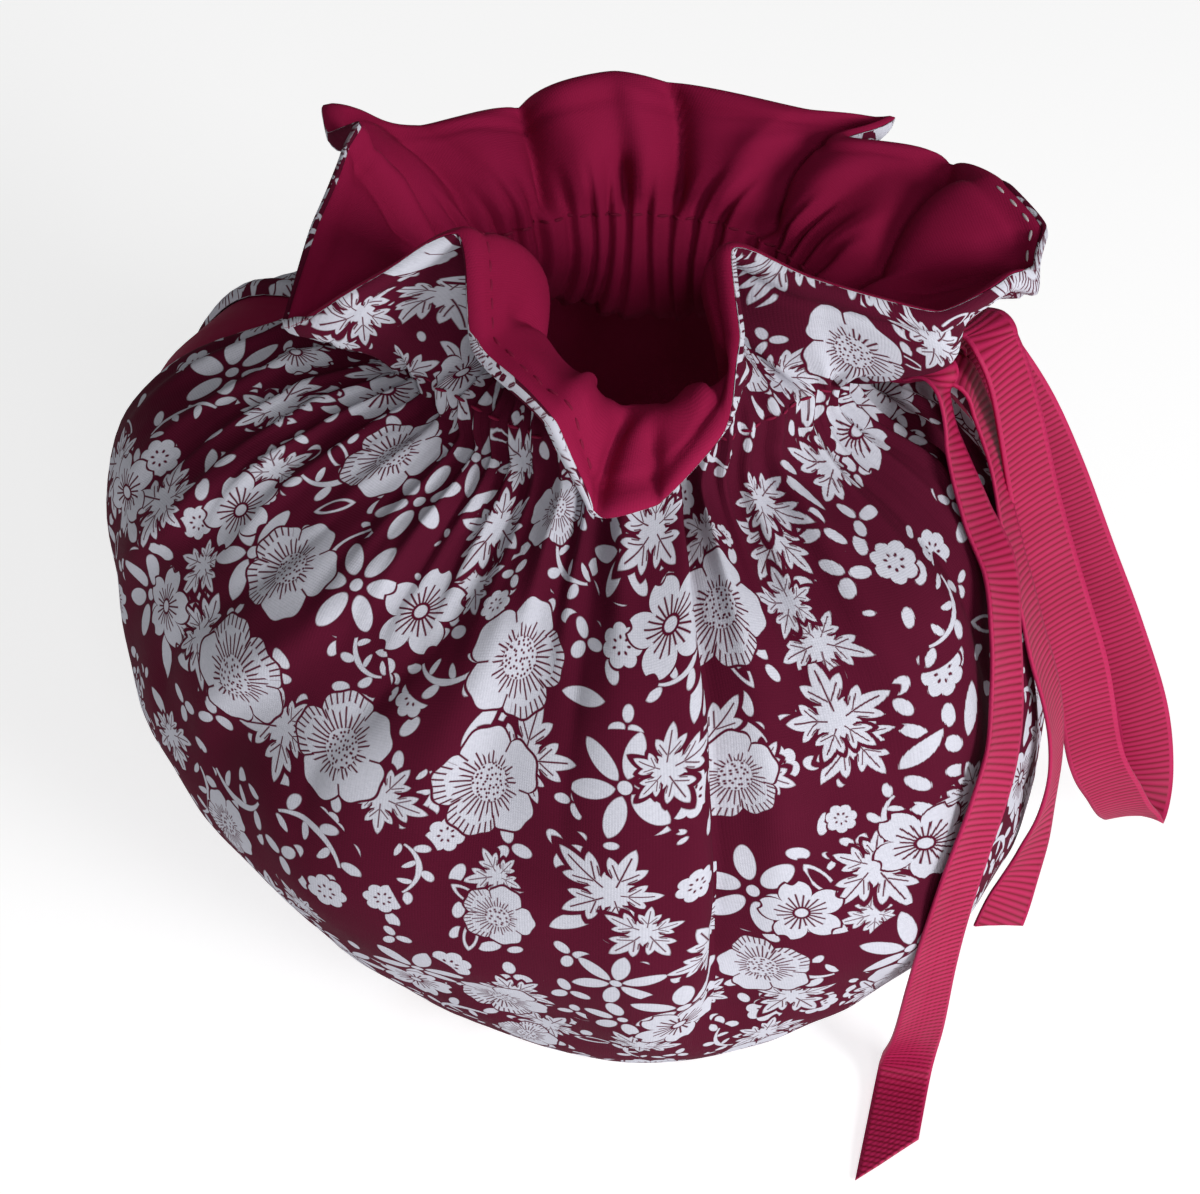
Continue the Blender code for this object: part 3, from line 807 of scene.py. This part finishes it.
def blossom(m):
    """Five notched petals round a dark star."""
    lobe = abs((m.a * 2.5).cos())
    notch = (lobe - 0.93).most(0.0) * 13.0
    rim = lobe ** 0.6 * 3.6 + 3.9 - notch
    form = rim - m.r
    star = m.dashes(20, 0.17).least(m.r - 1.1, 3.3 - m.r + lobe * 1.3)
    ring = (abs(m.r - 1.3) * -1.0 + 0.25)
    return form, form.least(star * -1.0, ring * -1.0)


def daisy(m):
    """Six separate petals round a small disc, rounder or more pointed by chance."""
    turn = m.sector(6)
    point = m.chance[2] * 0.9
    side = abs(turn.sin() * m.r) + point
    petal = m.far((turn.cos() * m.r - 5.7) * 0.56, side) * -1.0 + 1.85 + point * 0.8
    return 9.3 - m.r, petal.most(1.2 - m.r)


def palm_leaf(m):
    """A leaf of five leaflets, each with a pointed lobe on either side, and dark veins."""
    turn = m.sector(5)
    grow = (m.a - turn).cos() * 0.2 + 0.88
    out, side = turn.cos() * m.r / grow, abs(turn.sin() * m.r) / grow
    blade = m.oval(out - 4.9, side + 0.75, 5.0, 2.1)
    along = (out - 2.9) * 0.77 + side * 0.64
    across = (out - 2.9) * -0.64 + side * 0.77
    lobe = m.oval(along - 2.3, abs(across) + 0.6, 2.6, 1.55)
    low = (out - 1.3) * 0.5 + side * 0.87
    tooth = m.oval(low - 1.7, abs((out - 1.3) * -0.87 + side * 0.5) + 0.5, 1.9, 1.2)
    form = blade.most(lobe, tooth, 2.0 - m.r)
    spine = (0.15 - side).least(out - 1.6, 8.0 - out)
    vein = (0.13 - abs(across)).least(along - 0.3, 3.3 - along)
    hatch = (0.12 - abs(across - 0.75)).least(along - 1.0, 2.6 - along)
    return form + 0.3, form.least(spine * -1.0, vein * -1.0, hatch * -1.0)


def sprig(m):
    """A bent stalk with leaflets on either side and a small flower at its middle."""
    x = m.x + 7.0
    bend = m.far(x, m.y) - 8.0
    turn = m.finish.math("ARCTAN2", m.y, x)
    ends = (0.95 - abs(turn)) * 8.0
    stalk = (ends * 0.06 + 0.22 - abs(bend)).least(ends)
    along = turn * 2.6
    side = (m.finish.math("FLOOR", along) * 0.5).frac() * 4.0 - 1.0
    across = bend - side * 2.0
    step = (along.frac() - 0.5) * 3.1 + across * side * 0.35
    blade = m.oval(across, step, 1.55, 0.95).least(ends + 1.0)
    return (3.9 - abs(bend)).least(ends + 1.4), stalk.most(blade)


def small_flower(m):
    """A round scalloped flower with a ring of dots."""
    form = abs((m.a * 3.5).cos()) ** 0.7 * 0.8 + 2.9 - m.r
    dot = m.oval(m.r - 1.35, m.sector(7) * m.r, 0.36, 0.25)
    return form, form.least(dot * -1.0)


def bud_cluster(m):
    """Three small separate ovals."""
    turn = m.sector(3)
    return 3.9 - m.r, m.oval(turn.cos() * m.r - 2.1, turn.sin() * m.r, 1.65, 1.05)


def leaflet(m, hollow=False):
    """A pointed leaflet, whole or as an outline."""
    lens = m.oval(m.x, abs(m.y) + 0.9, 4.4, 2.3)
    return lens + 0.3, abs(lens - 0.25) * -1.0 + 0.22 if hollow else lens


def pick(m, choices):
    """Adds up the motif that each cell's chance value calls for, from shares and motifs."""
    outline = form = None
    low = 0.0
    for share, (edge, depth) in choices:
        high = low + share
        here = (m.chance[0] > low) * (m.chance[0] < high) if low else m.chance[0] < high
        low = high
        off = (here - 1.0) * 50.0
        edge, depth = edge + off, depth + off
        outline = edge if outline is None else outline.most(edge)
        form = depth if form is None else form.most(depth)
    return outline * m.size, form * m.size


def floral_print(finish):
    """White flowers, leaves and sprigs that overlap on the ground: 1 where the cloth is printed."""
    where = finish.uv()
    fine = finish.vector("MULTIPLY", where, (1000.0 / DOT_PITCH, 1000.0 / DOT_PITCH, 0.0))
    fine = finish.node("TexVoronoi", {"Vector": fine, "Scale": 1.0, "Randomness": 0.8}, "Distance",
                       voronoi_dimensions="2D") * DOT_PITCH
    flowers = Motif(finish, where, pitch=24.0, loose=0.65, seed=13.0, reach=9.2)
    leaves = Motif(finish, where, pitch=21.0, loose=0.45, seed=2.0, reach=9.6)
    more = Motif(finish, where, pitch=16.5, loose=0.5, seed=33.0, reach=9.0)
    small = Motif(finish, where, pitch=9.0, loose=0.7, seed=5.0, reach=3.8)
    tiny = Motif(finish, where, pitch=4.8, loose=0.8, seed=23.0, reach=2.0)
    # Upper layers first; each share is that of the cells which have the motif
    layers = [
        pick(flowers, [(0.25, poppy(flowers, fine)), (0.40, blossom(flowers))]),
        pick(leaves, [(0.60, palm_leaf(leaves)), (0.18, daisy(leaves)), (0.14, sprig(leaves))]),
        pick(more, [(0.36, palm_leaf(more)), (0.20, daisy(more)), (0.20, sprig(more))]),
        pick(small, [(0.20, small_flower(small)), (0.22, bud_cluster(small)), (0.20, leaflet(small)),
                     (0.12, leaflet(small, True))]),
        pick(tiny, [(0.40, (tiny.oval(tiny.x, tiny.y, 1.9, 1.1),) * 2)]),
    ]
    cover, depth = layers[0]
    for outline, form in layers[1:]:
        depth = depth.most(form.least(-MOTIF_GAP - cover))
        cover = cover.most(outline)
    return finish.math("MULTIPLY_ADD", depth, 1 / PRINT_BLUR, 0.5, clamp=True)


def weave(finish, where, pitch):
    """Crossing threads."""
    spot = finish.vector("MULTIPLY", where, (1000.0 / pitch, 1000.0 / pitch, 0.0))
    split = finish.node("SeparateXYZ", {0: spot})
    other = Flow(finish, split.socket.node.outputs[1])
    return abs((split * math.pi).sin()) * abs((other * math.pi).sin())


def printed_cotton():
    finish = Finish("printed_cotton", 0.9, Specular_IOR_Level=0.06)
    where = finish.uv()
    mask = floral_print(finish)
    cloudy = finish.noise(where, 60.0, 3.0)
    grain = finish.noise(where, 1800.0, 1.0)
    ground = finish.mix(cloudy, (0.062, 0.0036, 0.0145, 1), (0.094, 0.0062, 0.0240, 1))
    white = finish.mix(grain, (0.46, 0.465, 0.53, 1), (0.57, 0.57, 0.64, 1))
    finish.set("Base Color", finish.mix(mask, ground, white))
    finish.bump(weave(finish, where, THREAD_PITCH) + grain * 0.6, THREAD_HEIGHT, 0.6)
    return finish.material


def plain_lining():
    finish = Finish("plain_lining", 0.8, Specular_IOR_Level=0.05)
    where = finish.uv()
    cloudy = finish.noise(where, 45.0, 3.0)
    grain = finish.noise(where, 1500.0, 1.0)
    finish.set("Base Color", finish.mix(cloudy, (0.205, 0.0060, 0.034, 1), (0.275, 0.0095, 0.055, 1)))
    finish.bump(weave(finish, where, THREAD_PITCH) + grain * 0.6, THREAD_HEIGHT, 0.6)
    return finish.material


def grosgrain():
    finish = Finish("grosgrain_ribbon", 0.55, Specular_IOR_Level=0.15)
    where = finish.uv()
    cloudy = finish.noise(where, 90.0, 2.0)
    split = finish.node("SeparateXYZ", {0: where})
    along = Flow(finish, split.socket.node.outputs[1])
    rib = abs((along * (math.pi * 1000.0 / RIB)).sin())
    # Painted highlight on the rib crests (light) and painted shade in the grooves between them (dark), mixed
    # by the rib pattern
    dark = finish.mix(cloudy, (0.13, 0.0030, 0.014, 1), (0.18, 0.0040, 0.019, 1))
    light = finish.mix(cloudy, (0.36, 0.0110, 0.064, 1), (0.46, 0.0180, 0.096, 1))
    # Painted highlight along the raised plain edges of the ribbon
    selvage_painted_highlight = finish.math("MULTIPLY_ADD", abs(split), 6000.0, -6000.0 * SELVAGE * MM, clamp=True)
    finish.set("Base Color", finish.mix(rib.most(selvage_painted_highlight), dark, light))
    finish.bump(finish.noise(where, 5000.0, 1.0), 0.00004, 0.5)
    return finish.material


def thread(name, dark, light):
    finish = Finish(name, 0.7, Specular_IOR_Level=0.1)
    where = finish.node("TexCoord", {}, "Object")
    finish.set("Base Color", finish.mix(finish.noise(where, 900.0), dark, light))
    return finish.material


def stitches(name, path, facing, pitch, material, long=2.0):
    """A row of stitches along a path, one modelled and the others copied from it."""
    pitch = pitch * MM
    length = np.concatenate([[0.0], np.cumsum(np.linalg.norm(np.diff(path, axis=0), axis=1))])
    count = max(3, int(length[-1] / pitch))
    bpy.ops.object.select_all(action="DESELECT")
    bpy.ops.mesh.primitive_uv_sphere_add(segments=8, ring_count=5, radius=1.0)
    first = bpy.context.object
    bpy.ops.object.mode_set(mode="EDIT")
    bpy.ops.mesh.select_all(action="SELECT")
    bpy.ops.transform.resize(value=(*STITCH_HALF, long / 2 * MM))
    bpy.ops.object.mode_set(mode="OBJECT")
    shape = np.array([vertex.co[:] for vertex in first.data.vertices])
    polygons = [tuple(polygon.vertices) for polygon in first.data.polygons]
    bpy.data.objects.remove(first)
    points, faces = [], []
    for index in range(count):
        at = length[-1] * (index + 0.5) / count
        spots = [np.array([np.interp(at + shift, length, path[:, axis]) for axis in range(3)])
                 for shift in (-pitch / 4, 0.0, pitch / 4)]
        up = np.array([np.interp(at, length, facing[:, axis]) for axis in range(3)])
        run = spots[2] - spots[0]
        run /= np.linalg.norm(run)
        up -= run * up.dot(run)
        up /= np.linalg.norm(up)
        turned = shape @ np.array([np.cross(up, run), up, run])
        start = len(points) * len(shape)
        points.append(turned + spots[1])
        faces += [tuple(start + corner for corner in polygon) for polygon in polygons]
    mesh = bpy.data.meshes.new(name)
    mesh.from_pydata(np.concatenate(points).tolist(), [], faces)
    mesh.materials.append(material)
    mesh.shade_smooth()
    thing = bpy.data.objects.new(name, mesh)
    bpy.context.collection.objects.link(thing)
    return thing


def row_path(cloth, face, row_value):
    """Points and facing all round one row of the cloth."""
    index = int(np.argmin(np.abs(cloth.bag_rows - row_value)))
    around = np.arange(cloth.columns + 1) % cloth.columns
    return (face[index][around] + AXIS) * MM, cloth.normal[index][around]


def edge_path(cloth, face, inset, first, last):
    """Points and facing at a distance from the frill's edge, between two angles."""
    points, facing = [], []
    for column in range(int(first / 360 * cloth.columns), int(last / 360 * cloth.columns)):
        place = np.interp(-inset, -cloth.to_edge[:, column], np.arange(cloth.rows))
        low = int(place)
        part = place - low
        points.append(face[low, column] * (1 - part) + face[low + 1, column] * part)
        facing.append(cloth.normal[low, column])
    return (np.array(points) + AXIS) * MM, np.array(facing)


def ribbon_knot(material):
    """The knot: a rounded lump of ribbon wrapped over itself."""
    bpy.ops.object.select_all(action="DESELECT")
    place = [value * MM for value in (KNOT[0] + AXIS[0], KNOT[1] + AXIS[1], KNOT[2])]
    bpy.ops.mesh.primitive_uv_sphere_add(segments=96, ring_count=48, radius=1.0)
    knot = bpy.context.object
    knot.name = knot.data.name = "tie_knot"
    for vertex in knot.data.vertices:
        x, y, z = vertex.co
        wrap = abs(math.sin(2.2 * x + 1.1 * y + 0.4)) ** 0.6
        band = math.exp(-(y / 0.42) ** 2)
        size = 0.90 + 0.07 * wrap * (1 - band) + 0.09 * band
        vertex.co = [start + value * size * whole / 2 * MM
                     for start, value, whole in zip(place, (x, y, z), KNOT_SIZE)]
    layer = knot.data.uv_layers.active
    layer.name = "cloth"
    for loop in knot.data.loops:
        spot = knot.data.vertices[loop.vertex_index].co
        layer.data[loop.index].uv = (spot.y, spot.x + 0.6 * spot.z)
    knot.data.materials.append(material)
    knot.data.shade_smooth()
    return knot


# Camera, in pixels of the picture, degrees and metres
PICTURE_WIDTH, FOCAL_LENGTH, PICTURE_SHIFT = 1200, 2565, (-5, 38)
SENSOR = 36.0
TILT, DISTANCE, LOOKED_AT = 40.0, 0.45, (-0.0105, -0.0006, 0.06)
LIGHTS = [
    # name   place                 size  watts
    ("key", (0.76, -0.84, 0.46), 0.4, 11.6),
    ("front", (0.15, -1.0, 0.72), 0.25, 2.0),
    ("top", (0.0, -0.5, 1.0), 0.6, 0.6),
]


def studio():
    """White floor and surroundings, three soft lights, and the camera."""
    world = bpy.data.worlds.new("studio")
    bpy.context.scene.world = world
    world.use_nodes = True
    world.node_tree.nodes["Background"].inputs["Color"].default_value = (1, 1, 1, 1)
    world.node_tree.nodes["Background"].inputs["Strength"].default_value = 0.14
    for name, place, size, watts in LIGHTS:
        data = bpy.data.lights.new(name, "AREA")
        data.size = size
        data.energy = watts
        light = bpy.data.objects.new(name, data)
        light.location = place
        aim = np.array([0.0, 0.0, 0.06]) - np.array(place)
        light.rotation_euler = (math.acos(-aim[2] / np.linalg.norm(aim)), 0,
                                math.atan2(aim[1], aim[0]) - math.pi / 2)
        bpy.context.collection.objects.link(light)
    bpy.ops.object.select_all(action="DESELECT")
    bpy.ops.mesh.primitive_plane_add(size=6.0)
    floor = bpy.context.object
    floor.name = "floor"
    floor.location.z = -0.0002
    white = Finish("floor_white", 0.9, Base_Color=(0.6, 0.6, 0.6, 1), Emission_Color=(1, 1, 1, 1),
                   Emission_Strength=0.70)
    floor.data.materials.append(white.material)
    tilt = math.radians(TILT)
    data = bpy.data.cameras.new("view")
    data.sensor_fit = "HORIZONTAL"
    data.sensor_width = SENSOR
    data.lens = SENSOR * FOCAL_LENGTH / PICTURE_WIDTH
    data.shift_x = PICTURE_SHIFT[0] / PICTURE_WIDTH
    data.shift_y = PICTURE_SHIFT[1] / PICTURE_WIDTH
    data.clip_start = 0.01
    camera = bpy.data.objects.new("view", data)
    camera.location = (LOOKED_AT[0], LOOKED_AT[1] - DISTANCE * math.cos(tilt),
                       LOOKED_AT[2] + DISTANCE * math.sin(tilt))
    camera.rotation_euler = (math.pi / 2 - tilt, 0, 0)
    bpy.context.collection.objects.link(camera)
    bpy.context.scene.camera = camera
    bpy.context.scene.view_settings.view_transform = "Standard"


def dress():
    cotton, plain, tie = printed_cotton(), plain_lining(), grosgrain()
    wine = thread("sewing_thread", (0.15, 0.0055, 0.026, 1), (0.20, 0.0080, 0.040, 1))
    ecru = thread("sewing_thread_ecru", (0.42, 0.36, 0.38, 1), (0.55, 0.48, 0.50, 1))
    cloth = Cloth(504, 27.0)
    thick = OUTER_THICK + LAYER_GAP / 2 - FACE_GAP
    outer_face = cloth.face(FACE_GAP + cloth.rounded(thick, 2.4))
    # Along the edge bands the printed cloth reaches over the lining's edge
    shown = sum(ease((half - abs(cloth.turn - middle)) / 4.0) for middle, half in EDGE_BANDS)
    band = 1.35 * shown * ease((1.7 - cloth.to_edge) / 0.9)
    outer = cloth_layer("printed_cloth", cloth, outer_face, cloth.face(FACE_GAP - band))
    outer.data.materials.append(cotton)
    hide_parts("cosy_outer")

    inner = Cloth(432, 12.0)
    thick = LINING_THICK + LAYER_GAP / 2 - FACE_GAP
    # The casing swells below its seam, most at the back; then the padding of the front tip and frill
    roll = 2.2 + 7.0 * bell(inner.turn, 90.0, 50.0)
    below = inner.along_at(10.2) - inner.along
    puff = roll * np.exp(-(below / np.where(below > 0, 3.6, 7.5)) ** 2)
    over_casing = inner.along - inner.along_at(12.0) - 6.0
    puff += 2.6 * bell(inner.turn, 250.0, 9.0) * np.exp(-(over_casing / 5.0) ** 2)
    puff += (0.5 * ease(inner.part / 0.15) * ease((inner.to_edge - 6.0) / 6.0)
             * (1 + softness(inner.turn, inner.along)))
    lining_face = inner.face(-FACE_GAP - inner.rounded(thick, 2.2) - puff)
    lining = cloth_layer("lining", inner, inner.face(np.full_like(inner.detail, -FACE_GAP)), lining_face)
    lining.data.materials.append(plain)
    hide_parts("cosy_lining")

    front = ribbon("tie_front_tail", FRONT_TAIL, FRONT_TAIL_CUT, tie, TAIL_WIDTH)
    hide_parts("ribbon_front_tail")
    back = ribbon("tie_back_tail", BACK_TAIL, BACK_TAIL_CUT, tie, TAIL_WIDTH)
    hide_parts("ribbon_back_tail")
    loop = ribbon("tie_loop", LOOP, 0.0, tie)
    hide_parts("ribbon_loop")
    knot = ribbon_knot(tie)
    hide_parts("ribbon_knot")

    rows = [
        stitches("edge_stitching", *edge_path(inner, lining_face, EDGE_STITCH, 219, 268), 2.9, wine),
        stitches("ecru_edge_stitching", *edge_path(inner, lining_face, 2.4, 4, 21), 3.2, ecru),
        stitches("casing_stitching", *row_path(inner, lining_face, CASING), 3.0, wine),
        stitches("casing_stitching_outside", *row_path(cloth, outer_face, CASING), 3.0, wine),
    ]
    for piece in (outer, lining, front, back, loop, knot, *rows):
        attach(piece, "root")


studio()
dress()
